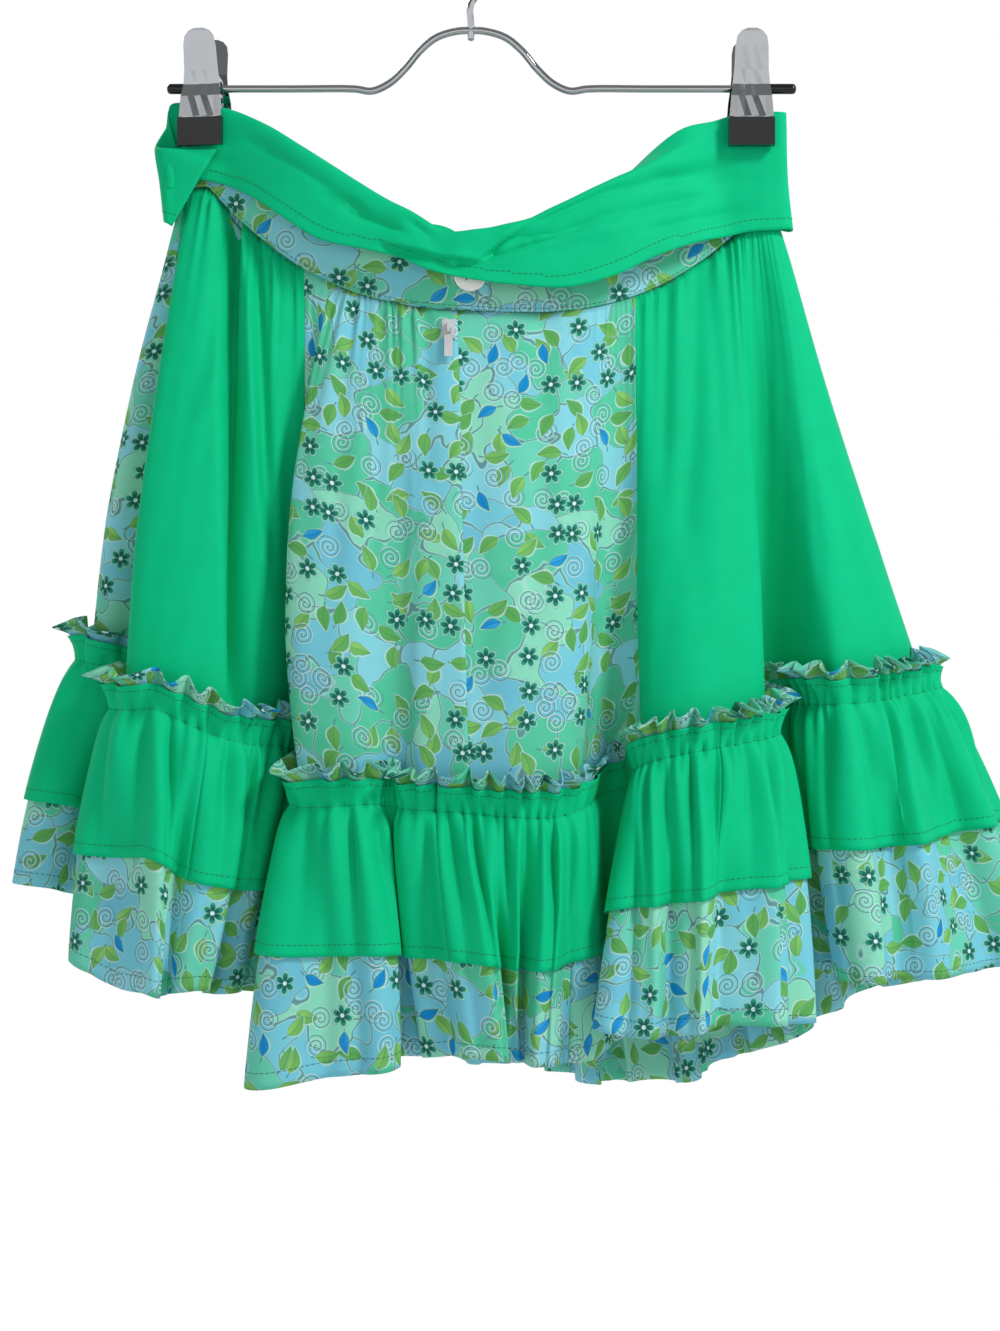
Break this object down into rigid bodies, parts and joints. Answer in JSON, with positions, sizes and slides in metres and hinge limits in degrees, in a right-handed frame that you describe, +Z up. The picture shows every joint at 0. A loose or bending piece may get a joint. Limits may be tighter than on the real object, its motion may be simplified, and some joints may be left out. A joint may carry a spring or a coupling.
{
  "type": "square dance skirt on a clip hanger",
  "caption": "Flared square dance skirt of print and green gores with gathered double flounces and a wound sash, clipped by its waistband to a wire clip hanger.",
  "frame": {"origin": "inside top of the hanger's hook, where it rests on a rail", "axes": "+Z up, +Y toward the skirt's front, +X along the hanger bar to the right of someone who looks at the zip side"},
  "size_m": [0.5723, 0.1992, 0.6704],
  "materials": {
    "green_cloth": "plain cotton broadcloth, matt",
    "print_cloth": "printed cotton, matt",
    "zip_tape": "woven tape",
    "button": "polished white resin",
    "zip_metal": "bright metal",
    "chrome": "polished chrome plate",
    "rubber": "black, satin"
  },
  "bodies": {
    "garment": {"panel_green_left": "green_cloth", "panel_green_right": "green_cloth", "panel_green_front": "green_cloth", "sash": "green_cloth", "flounce_green_1": "green_cloth", "flounce_green_2": "green_cloth", "flounce_green_3": "green_cloth", "flounce_green_4": "green_cloth", "flounce_green_5": "green_cloth", "flounce_green_6": "green_cloth", "panel_back_left": "print_cloth", "panel_back_right": "print_cloth", "panel_print_right": "print_cloth", "panel_print_left": "print_cloth", "waistband": "print_cloth", "flounce_print_1": "print_cloth", "flounce_print_2": "print_cloth", "flounce_print_3": "print_cloth", "flounce_print_4": "print_cloth", "flounce_print_5": "print_cloth", "flounce_print_6": "print_cloth", "zip_tape": "zip_tape", "button": "button", "zip_slider": "zip_metal", "hanger_wire": "chrome", "hanger_hook": "chrome", "hanger_sleeve_left": "rubber", "hanger_sleeve_right": "rubber", "clip_left_near_plate": "chrome", "clip_left_near_jaw": "rubber", "clip_left_far_plate": "chrome", "clip_left_far_jaw": "rubber", "clip_left_spring": "chrome", "clip_right_near_plate": "chrome", "clip_right_near_jaw": "rubber", "clip_right_far_plate": "chrome", "clip_right_far_jaw": "rubber", "clip_right_spring": "chrome"},
    "zip_pull": {"zip_pull": "zip_metal"}
  },
  "joints": [
    {"name": "zip_pull", "type": "hinge", "parent": "garment", "child": "zip_pull", "pos_m": [-0.01189, -0.03912, -0.23469], "axis": [-1, 0, 0], "range_deg": [0, 140]}
  ]
}
